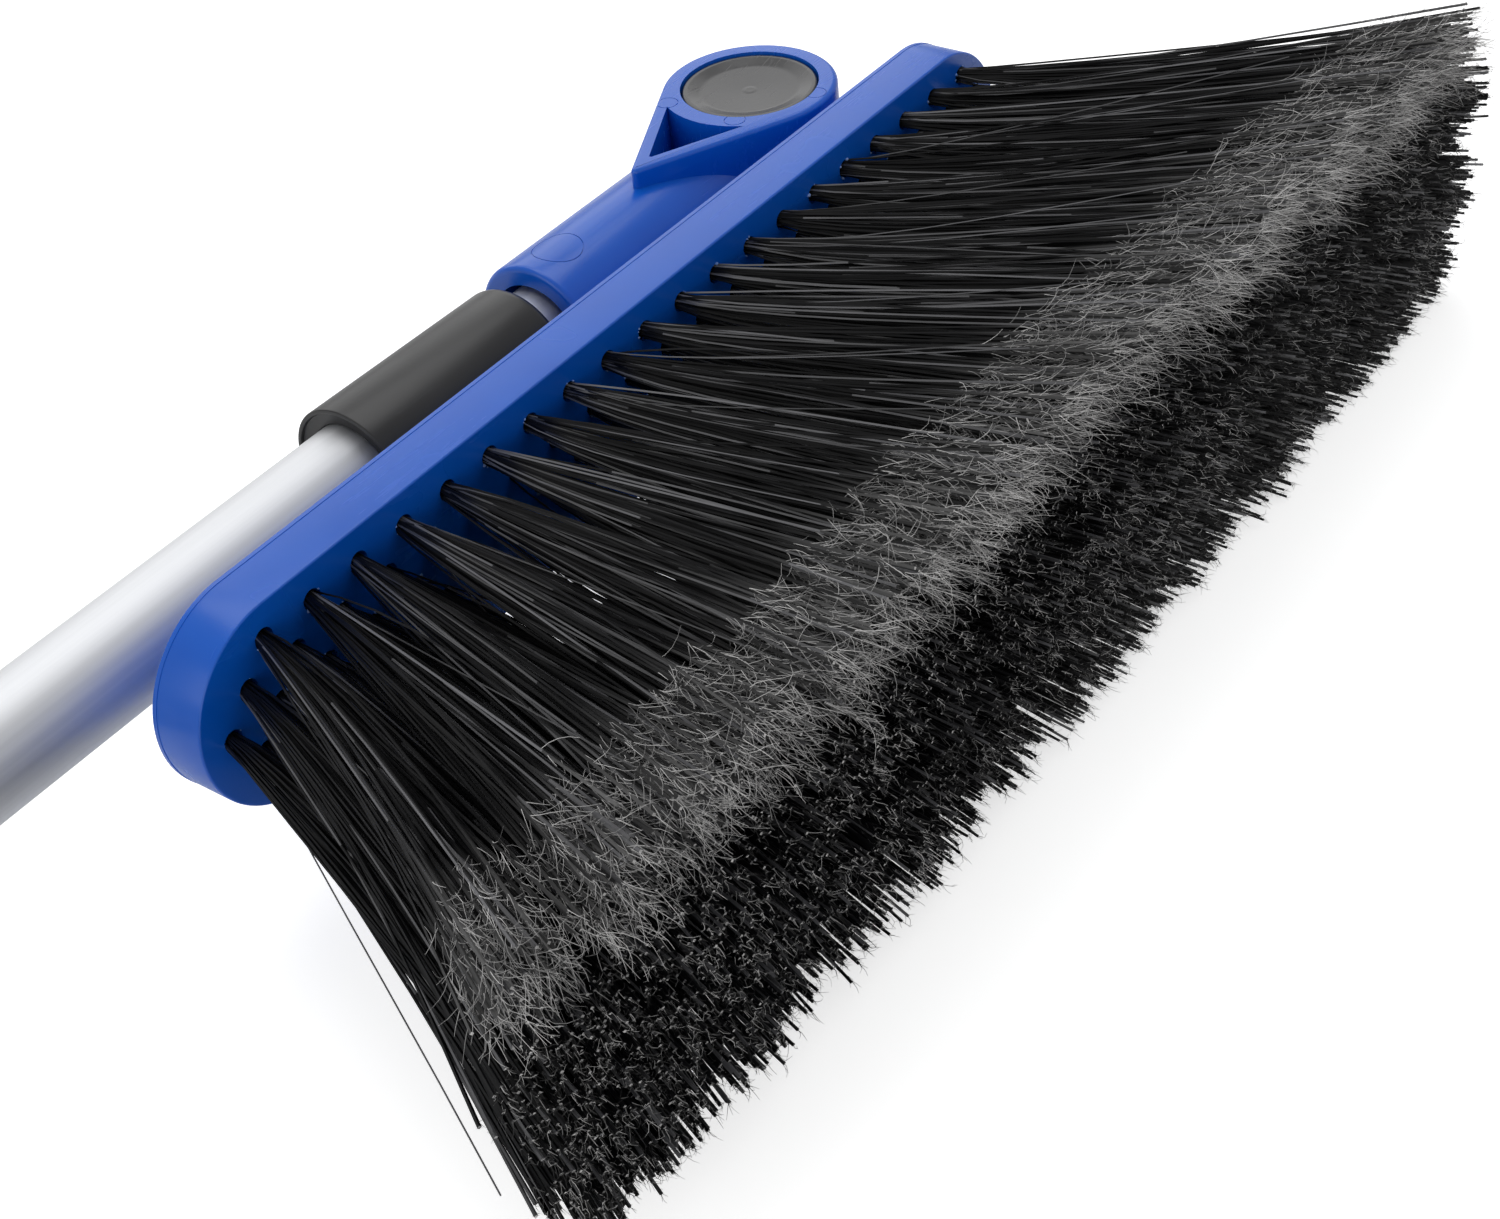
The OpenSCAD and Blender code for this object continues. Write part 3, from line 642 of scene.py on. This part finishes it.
def makeBlock():
    bm = bmesh.new()
    stadium(bm, blockHigh.y, blockHalf.z)
    face = bm.faces[:]
    lipped = bmesh.ops.extrude_face_region(bm, geom=face)
    moved = [v for v in lipped["geom"] if isinstance(v, bmesh.types.BMVert)]
    bmesh.ops.translate(bm, verts=moved, vec=(0, -block["lipDepth"], 0))
    front = [f for f in lipped["geom"] if isinstance(f, bmesh.types.BMFace)]
    bmesh.ops.inset_region(bm, faces=front, thickness=block["lip"], depth=0.0)
    raised = bmesh.ops.extrude_face_region(bm, geom=front)
    moved = [v for v in raised["geom"] if isinstance(v, bmesh.types.BMVert)]
    bmesh.ops.translate(bm, verts=moved, vec=(0, blockLow.y - blockHigh.y + block["lipDepth"], 0))
    bmesh.ops.delete(bm, geom=front, context="FACES_ONLY")
    bmesh.ops.recalc_face_normals(bm, faces=bm.faces)
    for y, width in ((blockLow.y, block["frontEdge"]), (blockHigh.y, block["backEdge"])):
        rim = [e for e in bm.edges if all(abs(v.co.y - y) < 1e-6 for v in e.verts)]
        bmesh.ops.bevel(bm, geom=rim, offset=width, offset_type="OFFSET", segments=4,
                        profile=0.5, affect="EDGES", material=-1)
    ob = looseObject(bm, "brushBlock")
    drills = bmesh.new()
    radius = block["holeRadius"]
    depth = block["holeDepth"] + block["drillStart"]
    for x, z in (p for row in tuftPlaces() for p in row):
        middle = Matrix.Translation((x, blockLow.y - block["drillStart"] + depth / 2, z))
        bmesh.ops.create_cone(drills, cap_ends=True, segments=20, radius1=radius, radius2=radius,
                              depth=depth, matrix=middle @ Matrix.Rotation(math.pi / 2, 4, "X"))
    booleanWith(ob, looseObject(drills, "drills"), "DIFFERENCE")
    return finishObject(ob, "head", blue, ("brush_block",), 25)


burrs = dict(seed=7, counts=(1, 2, 2, 3, 4), size=(0.35, 0.95),
             squash=((0.5, 1.5), (0.5, 1.6), (0.5, 1.2)))


# pale flecks that the drill left round the holes
def makeBurrs():
    rng = random.Random(burrs["seed"])
    bm = bmesh.new()
    for x, z in (p for row in tuftPlaces() for p in row):
        for _ in range(rng.choice(burrs["counts"])):
            angle = rng.uniform(0, math.tau)
            size = rng.uniform(*burrs["size"]) * mm
            at = Vector((x + math.cos(angle) * block["holeRadius"], blockLow.y,
                         z + math.sin(angle) * block["holeRadius"]))
            made = bmesh.ops.create_icosphere(bm, subdivisions=1, radius=size / 2)
            squashed = Matrix.Diagonal((*[rng.uniform(*s) for s in burrs["squash"]], 1))
            placed = Matrix.Translation(at) @ Matrix.Rotation(angle, 4, "Y") @ squashed
            bmesh.ops.transform(bm, matrix=placed, verts=made["verts"])
    return finishPiece(bm, "drillBurrs", "head", burrBlue)


# heights and lengths are measured from the pivot
yoke = dict(fillet=1.5 * mm, edge=0.3 * mm, tipRound=1.4 * mm, wall=3.4 * mm,
            pocketFloor=2 * mm, pocketTip=0.5 * mm, pointWall=2.17,
            ring=23.7 * mm, reach=51.5 * mm, top=23.3 * mm, bottom=-8.5 * mm, floor=-5 * mm,
            bore=18.7 * mm, spigot=14.07 * mm, hub=24 * mm, socket=17.9 * mm, mouthRound=1.6 * mm,
            mouthBore=12.9 * mm, mouthDepth=10 * mm, tubeBore=11.23 * mm, tubeDepth=45 * mm,
            mouth=-95.4 * mm, pad=6.5 * mm, padFrom=12 * mm, groove=0.22 * mm,
            marks=((-18.4, 13.7), (-18.4, -8.4), (3.3, -19.3)), markRadius=2.8 * mm)


# a round boss drawn out to a point, as the ring and its pocket are
def pointedPrism(radius, reach, tip, low, high, name, fillet=0.0):
    bm = bmesh.new()
    for z in (low, high):
        ring = bmesh.ops.create_circle(bm, segments=96, radius=radius)
        bmesh.ops.translate(bm, verts=ring["verts"], vec=(0, 0, z))
        point = bmesh.ops.create_circle(bm, segments=24, radius=tip)
        bmesh.ops.translate(bm, verts=point["verts"], vec=(tip - reach, 0, z))
    bmesh.ops.convex_hull(bm, input=bm.verts)
    loose = [v for v in bm.verts if not v.link_faces]
    bmesh.ops.delete(bm, geom=loose, context="VERTS")
    flat = math.radians(0.5)
    bmesh.ops.dissolve_limit(bm, angle_limit=flat, verts=bm.verts, edges=bm.edges)
    bmesh.ops.recalc_face_normals(bm, faces=bm.faces)
    if fillet:
        level = [e for e in bm.edges if all(abs(v.co.z - high) < 1e-6 for v in e.verts)]
        rim = [e for e in level if len(e.link_faces) == 2 and abs(e.calc_face_angle(0)) > 1]
        bmesh.ops.bevel(bm, geom=rim, offset=fillet, offset_type="OFFSET", segments=6,
                        profile=0.5, affect="EDGES", material=-1)
    bmesh.ops.translate(bm, verts=bm.verts, vec=pivot)
    return looseObject(bm, name)


def rodAt(radius, low, high, name, axis="Z", segments=96):
    bm = bmesh.new()
    turn = Matrix.Rotation(math.pi / 2 if axis == "X" else 0, 4, "Y")
    place = Matrix.Translation(pivot) @ turn @ Matrix.Translation((0, 0, (low + high) / 2))
    bmesh.ops.create_cone(bm, cap_ends=True, segments=segments, radius1=radius, radius2=radius,
                          depth=high - low, matrix=place)
    return looseObject(bm, name)


def boxAt(low, high, name):
    bm = bmesh.new()
    size = Vector(high) - Vector(low)
    middle = Matrix.Translation(pivot + (Vector(high) + Vector(low)) / 2)
    bmesh.ops.create_cube(bm, size=1, matrix=middle @ Matrix.Diagonal((*size, 1)))
    return looseObject(bm, name)


# a thin ring, to cut a mould mark with
def ringGroove(x, y, radius, low):
    w = yoke["groove"]
    ring = rodAt(radius + w / 2, low, low + 20 * mm, "groove", segments=48)
    core = rodAt(radius - w / 2, low - 1 * mm, low + 25 * mm, "core", segments=48)
    booleanWith(ring, core, "DIFFERENCE")
    ring.data.transform(Matrix.Translation((x, y, 0)))
    return ring


def makeYoke():
    y = yoke
    body = pointedPrism(y["ring"], y["reach"], y["tipRound"], y["bottom"], y["top"], "yokeBody",
                        y["fillet"])
    length = -y["mouth"]
    outline = [(0, 0, 0, 0), (0, y["socket"], y["mouthRound"], 6), (length, y["socket"], 0, 0),
               (length, 0, 0, 0)]
    tube = latheMesh(outline, "X", pivot + Vector((y["mouth"], 0, 0)))
    booleanWith(body, looseObject(tube, "tube"), "UNION")
    pocket = pointedPrism(y["ring"] - y["wall"], y["reach"] - y["wall"] * y["pointWall"],
                          y["pocketTip"], y["pocketFloor"], y["top"] + 2 * mm, "pocket")
    booleanWith(pocket, rodAt(y["ring"], 0, 40 * mm, "ringGuard"), "DIFFERENCE")
    outside = y["mouth"] - 5 * mm
    cuts = [
        pocket,
        rodAt(y["bore"], y["floor"], 40 * mm, "ringBore"),
        rodAt(y["spigot"], -20 * mm, 0, "spigotBore"),
        boxAt((-y["hub"], -30 * mm, -40 * mm), (y["hub"], 30 * mm, y["bottom"]), "hubRoom"),
        rodAt(y["tubeBore"], outside, y["mouth"] + y["tubeDepth"], "tubeBore", "X"),
        rodAt(y["mouthBore"], outside, y["mouth"] + y["mouthDepth"], "mouthBore", "X"),
    ]
    # the round mark on the socket follows its curve
    witness = ringGroove(y["mouth"] + y["padFrom"], 0, y["pad"], 10 * mm)
    below = rodAt(y["socket"] - y["groove"], outside, 10 * mm, "below", "X")
    booleanWith(witness, below, "DIFFERENCE")
    cuts.append(witness)
    for x, side in y["marks"]:
        cuts.append(ringGroove(x * mm, side * mm, y["markRadius"], y["top"] - y["groove"]))
    for cutter in cuts:
        booleanWith(body, cutter, "DIFFERENCE")
    fineEdges(body, y["edge"], 3)
    body.name = "yokeShell"
    return finishObject(body, "pole", blue, ("yoke",), 25)


# rim: below the top, in from the edge, rounding, steps
# dish: below the top, radius, rounding, steps
button = dict(foot=0.3 * mm, wall=2.1 * mm,
              rim=((0, 0, 0.7, 5), (0.05, 1.5, 0.8, 5), (0.95, 5, 6, 6)),
              dish=((1.3, 2.2, 0.6, 3), (1.2, 1.2, 0.3, 2), (1.25, 0, 0, 0), (4, 0, 0, 0),
                    (4, 15, 0, 0)))


def makeButton():
    low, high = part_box("button_cap")
    r = (high.x - low.x) / 2
    foot = low.z - pivot.z
    top = high.z - pivot.z
    profile = [(foot, r, button["foot"], 2)]
    profile += [(top - d * mm, r - i * mm, e * mm, n) for d, i, e, n in button["rim"]]
    profile += [(top - d * mm, o * mm, e * mm, n) for d, o, e, n in button["dish"]]
    profile.append((foot, r - button["wall"], 0, 0))
    bm = latheMesh(profile, "Z", pivot.copy(), 96)
    return finishPiece(bm, "buttonDish", "button", charcoal,
                       ("button_cap",), 40)


collar = dict(taper=0.9 * mm, nose=3.4 * mm, mouth=11.9 * mm, mouthDepth=1.5 * mm, bore=12.55 * mm,
              recess=1.1 * mm, recessWall=1.3 * mm, backWall=1.1 * mm)


def makeCollar():
    low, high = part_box("collar")
    c = collar
    length = high.x - low.x
    near = (high.z - low.z) / 2
    inner = length - c["mouthDepth"]
    profile = [
        (0, near, 0.35 * mm, 3), (length, near - c["taper"], c["nose"], 8),
        (length, c["mouth"], 0.3 * mm, 2), (inner, c["mouth"], 0, 0), (inner, c["bore"], 0, 0),
        (c["recess"], c["bore"], 0.4 * mm, 3), (c["recess"], near - c["recessWall"], 0.3 * mm, 2),
        (0, near - c["backWall"], 0.2 * mm, 2),
    ]
    bm = latheMesh(profile, "X", Vector((low.x, 0, 0)), 128)
    return finishPiece(bm, "collarShell", "handle", black, ("collar",), 40)


tubes = dict(handleTube=("outer_tube", "handle", 0.9 * mm),
             slidingTube=("inner_tube", "pole", 1.0 * mm))
tubeEdge = 0.25 * mm


def makeTube(name):
    node, body, wall = tubes[name]
    low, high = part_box(node)
    r = (high.z - low.z) / 2
    length = high.x - low.x
    profile = [(0, r, tubeEdge, 2), (length, r, tubeEdge, 2), (length, r - wall, 0, 0),
               (0, r - wall, 0, 0)]
    bm = latheMesh(profile, "X", Vector((low.x, 0, 0)), 128)
    return finishPiece(bm, name, body, aluminium, (node,), 40)


grip = dict(ends=4 * mm, bore=12.55 * mm, boreEdge=0.5 * mm)


def makeGrip():
    low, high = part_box("foam_grip")
    r = (high.z - low.z) / 2
    length = high.x - low.x
    bore, edge = grip["bore"], grip["boreEdge"]
    profile = [(0, r, grip["ends"], 8), (length, r, grip["ends"], 8), (length, bore, edge, 2),
               (0, bore, edge, 2)]
    bm = latheMesh(profile, "X", Vector((low.x, 0, 0)), 128)
    return finishPiece(bm, "foamGrip", "handle", foam, ("foam_grip",), 60)


# the spring keeps its CAD shape, on a mesh of its own
def makeSpring():
    bm = bmesh.new()
    bm.from_mesh(frame["nodes"]["button_spring"].data)
    bmesh.ops.remove_doubles(bm, verts=bm.verts, dist=2e-6)
    ob = finishPiece(bm, "coilSpring", "head", steel, ("button_spring",), 60)
    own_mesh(ob)


# fan: half height of the tips at the middle, then its change and its curve along the block
# drop: how far the tips hang below the block's middle, and its change along the block
brush = dict(
    seed=11, perTuft=(84, 84, 84, 96, 112), sides=4, radius=0.28 * mm, steps=7,
    widths=(1, 1, 1, 1, 1, 1, 1.15, 1.45), root=1.8 * mm, sink=2.0 * mm,
    fanAlong=1.43, lean=20 * mm, endLean=-16 * mm, fan=(37.5 * mm, 2.8 * mm, -7.5 * mm),
    drop=(-10.5 * mm, -6.2 * mm), nearPull=12.8 * mm, lowPull=9 * mm,
    tipJitter=(1.2 * mm, 0.8 * mm), spreadAlong=11 * mm, spreadAcross=8.5 * mm,
    reach=113.5 * mm, lengthJitter=1.3 * mm, tuftJitter=0.9 * mm, wander=2.0 * mm,
    strays=0.05, strayWander=6.5 * mm, hold=0.22, straight=0.45, bow=(1.6, 1.1), hang=0.8,
    # one strand in every 4.5 gets the pale base colour of a painted highlight
    limit=57.5 * mm, paintedHighlightEvery=4.5, cutEnds=0.55, mixSeed=5,
)
strays = dict(seed=3, count=70, radius=0.17 * mm, rows=(0, 0, 0, 1, 4), share=(0.75, 1.03),
              sway=(9, 3, 2), edgeShare=0.96)
splitTips = dict(
    seed=23, parts=(3, 1, 1, 2, 2), sides=3, radius=0.052 * mm, limit=58.8 * mm, bias=1.15,
    turns=(0.2, 0.3, 0.45, 0.8), stretch=(0.5, 1.1), rough=0.4, widest=1.5, thins=0.9,
    top=dict(fibres=12, length=9.5 * mm, back=29 * mm, steps=4, curl=0.34),
    inner=dict(fibres=4, length=3.6 * mm, back=3.0 * mm, steps=3, curl=0.75),
)


def newStrands(name, sides, radius):
    ring = bpy.data.curves.new(name + "Section", "CURVE")
    ring.dimensions = "2D"
    spline = ring.splines.new("POLY")
    spline.points.add(sides - 1)
    for k, point in enumerate(spline.points):
        turn = math.tau * k / sides
        point.co = (radius * math.cos(turn), radius * math.sin(turn), 0, 1)
    spline.use_cyclic_u = True
    section = bpy.data.objects.new(name + "Section", ring)
    bpy.context.collection.objects.link(section)
    data = bpy.data.curves.new(name, "CURVE")
    data.dimensions = "3D"
    data.bevel_mode = "OBJECT"
    data.bevel_object = section
    data.use_fill_caps = True
    return data


def addStrand(data, points, widths=None):
    spline = data.splines.new("POLY")
    spline.points.add(len(points) - 1)
    flat = []
    for p in points:
        flat.extend((p.x, p.y, p.z, 1.0))
    spline.points.foreach_set("co", flat)
    if widths:
        spline.points.foreach_set("radius", widths)


# some strands are shinier and have a pale base colour, a painted highlight, and some show a pale
# cut end
def mixStrands(bm, strands):
    rng = random.Random(brush["mixSeed"])
    chosen = [rng.random() * brush["paintedHighlightEvery"] < 1 for _ in range(strands)]
    each = len(bm.faces) // strands
    bm.normal_update()
    for face in bm.faces:
        face.material_index = int(chosen[min(face.index // each, strands - 1)])
        if face.normal.y < -0.75 and rng.random() < brush["cutEnds"]:
            face.material_index = 2


def strandsToPiece(data, name, material, replaces=(), mixed=False):
    strands = len(data.splines)
    maker = bpy.data.objects.new(name + "Maker", data)
    bpy.context.collection.objects.link(maker)
    graph = bpy.context.evaluated_depsgraph_get()
    mesh = bpy.data.meshes.new_from_object(maker.evaluated_get(graph))
    bpy.data.objects.remove(data.bevel_object)
    bpy.data.objects.remove(maker)
    bm = bmesh.new()
    bm.from_mesh(mesh)
    bpy.data.meshes.remove(mesh)
    print(name, strands, "strands")
    if mixed:
        mixStrands(bm, strands)
    ob = finishPiece(bm, name, "head", material, replaces, 50, merge=False)
    if mixed:
        ob.data.materials.append(hair["bristlePaintedHighlight"])
        ob.data.materials.append(hair["bristleCutEnd"])
    return ob


# where a tuft's middle ends up; u runs from -1 at the block's near end to 1 at the far end
def tuftTip(rng, x, z):
    b = brush
    u = (x - blockMid.x) / blockHalf.x
    outward = (z - blockMid.z) / (2 * block["rowPitch"])
    inward = 2 - abs(z - blockMid.z) / block["rowPitch"]
    half = b["fan"][0] + b["fan"][1] * u + b["fan"][2] * u * u
    pulled = (b["nearPull"] * inward + b["lowPull"] * max(0, -outward)) * min(u, 0) ** 4
    leaned = b["lean"] + b["endLean"] * u * u + (x - blockMid.x) * b["fanAlong"] + pulled
    dropped = b["drop"][0] + b["drop"][1] * u
    along = blockMid.x + leaned + rng.gauss(0, b["tipJitter"][0])
    return Vector((along, blockMid.z + dropped + half * outward + rng.gauss(0, b["tipJitter"][1])))


# one bristle: straight out of its hole, then bent towards its place in the fan
def bristlePath(rng, x, z, reach, tip, angle, share):
    b = brush
    face = blockLow.y
    out = Vector((math.cos(angle), 0, math.sin(angle))) * share
    start = Vector((x, face + b["sink"], z)) + out * b["root"]
    end = Vector((tip.x + out.x * b["spreadAlong"], face - reach,
                  tip.y + out.z * b["spreadAcross"]))
    wander = b["strayWander"] if rng.random() < b["strays"] else b["wander"]
    end.x += rng.gauss(0, wander)
    end.z = max(-b["limit"], min(b["limit"], end.z + rng.gauss(0, wander)))
    lean = (end - start).normalized() * (1 - b["straight"])
    hold = start + (Vector((0, -b["straight"], 0)) + lean) * reach * b["hold"]
    bow = Vector((rng.gauss(0, b["bow"][0]), 0, rng.gauss(0, b["bow"][1]) - b["hang"])) * mm
    points = []
    for s in range(b["steps"] + 1):
        t = s / b["steps"]
        p = start * (1 - t) ** 2 + hold * 2 * t * (1 - t) + end * t * t
        points.append(p + bow * math.sin(math.pi * t))
    return points


def makeBristles():
    b = brush
    rng = random.Random(b["seed"])
    goldenTurn = 2.399963
    tips = []
    for row, places in enumerate(tuftPlaces()):
        data = newStrands("row", b["sides"], b["radius"])
        rowTips = []
        for x, z in places:
            reach = b["reach"] + rng.gauss(0, b["tuftJitter"])
            tip = tuftTip(rng, x, z)
            count = b["perTuft"][row]
            for k in range(count):
                share = math.sqrt((k + 0.5) / count)
                length = reach + rng.gauss(0, b["lengthJitter"])
                path = bristlePath(rng, x, z, length, tip, k * goldenTurn, share)
                addStrand(data, path, b["widths"])
                rowTips.append(path)
        kind = hair["bristleBlack" if row else "bristleFrayed"]
        strandsToPiece(data, f"bristleRow{row + 1}", kind, (f"tuft_row_{row + 1}",), mixed=True)
        tips.append(rowTips)
    return tips


# thin bristles that left their tufts, and one along the near edge
def makeStrays():
    rng = random.Random(strays["seed"])
    data = newStrands("strays", 4, strays["radius"])
    rows = tuftPlaces()
    reach = brush["reach"]
    wide, up, down = strays["sway"]
    for _ in range(strays["count"]):
        row = rng.choice(strays["rows"])
        x, z = rng.choice(rows[row])
        end = tuftTip(rng, x, z)
        length = reach * rng.uniform(*strays["share"])
        path = bristlePath(rng, x, z, length, end, rng.uniform(0, math.tau), 1)
        sideways = rng.gauss(0, wide)
        lifted = abs(rng.gauss(0, up)) if row < 2 else -abs(rng.gauss(0, down))
        sway = Vector((sideways, 0, lifted)) * mm
        steps = len(path) - 1
        addStrand(data, [p + sway * (k / steps) ** 2 for k, p in enumerate(path)])
    x, z = rows[3][0]
    path = bristlePath(rng, x, z, reach * strays["edgeShare"], tuftTip(rng, x, z), math.pi, 1)
    addStrand(data, path)
    # the strays all have the pale base colour of the painted highlight
    strandsToPiece(data, "strayBristles", hair["bristlePaintedHighlight"])


def randomUnit(rng):
    return Vector((rng.gauss(0, 1), rng.gauss(0, 1), rng.gauss(0, 1))).normalized()


# a fibre that split off a bristle near its tip
def curlyFibre(rng, path, kind):
    c = splitTips
    away = (path[-1] - path[-2]).normalized()
    point = path[-1] - away * kind["back"] * rng.random() ** c["bias"]
    heading = (away + randomUnit(rng) * rng.choice(c["turns"])).normalized()
    axis = randomUnit(rng)
    bend = rng.gauss(0, kind["curl"])
    stride = kind["length"] * rng.uniform(*c["stretch"]) / kind["steps"]
    points = [point]
    for _ in range(kind["steps"]):
        point = point + heading * stride
        point.z = max(-c["limit"], min(c["limit"], point.z))
        points.append(point)
        heading.rotate(Quaternion(axis, bend + rng.gauss(0, kind["curl"] * c["rough"])))
    return points


def makeSplitTips(tips):
    c = splitTips
    rng = random.Random(c["seed"])
    for row, paths in enumerate(tips):
        kind = c["inner" if row else "top"]
        steps = kind["steps"]
        widths = [c["widest"] - c["thins"] * s / steps for s in range(steps + 1)]
        parts = c["parts"][row]
        cut = [len(paths) * k // parts for k in range(parts + 1)]
        for part in range(parts):
            data = newStrands("tips", c["sides"], c["radius"])
            for path in paths[cut[part]:cut[part + 1]]:
                for _ in range(kind["fibres"]):
                    addStrand(data, curlyFibre(rng, path, kind), widths)
            label = f"splitTips{row + 1}" + ("abc"[part] if parts > 1 else "")
            # inner rows take the near-black copy, painted shade on the tip face
            strandsToPiece(data, label, hair["splitTipPaintedShade" if row else "splitTipGrey"])


makeCamera()
makeLights()
print("camera and lights placed")
makeBlock()
makeBurrs()
print("block and burrs made")
makeYoke()
makeButton()
print("yoke and button made")
makeCollar()
for name in tubes:
    makeTube(name)
makeGrip()
makeSpring()
softenedCopy("scraper_holder", 1.0 * mm, blue, "handle", 3)
softenedCopy("scraper_blade", 0.35 * mm, clear, "handle")
softenedCopy("pivot_bracket", 0.5 * mm, blue, "head")
print("collar, tubes, grip, spring, scraper and bracket made")
tips = makeBristles()
makeStrays()
makeSplitTips(tips)
print("bristles made")

# what the CAD parts that stay as they are, are made of
finishes = (
    (grey, ("collar_bush", "lock_sleeve")),
    (black, ("lock_plug",)),
    (zinc, ("lock_gear",)),
    (steel, ("holder_pin", "blade_rivets", "lock_washer", "lock_screw", "yoke_rivet",
             "bracket_screws", "pivot_washer", "retaining_clip", "stop_washer", "stop_screw",
             "tuft_anchors")),
)
for material, nodes in finishes:
    for node in nodes:
        for place in frame["nodes"][node].material_slots:
            place.material = material
print("finishes assigned")

makeFloor(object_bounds()[0].z)
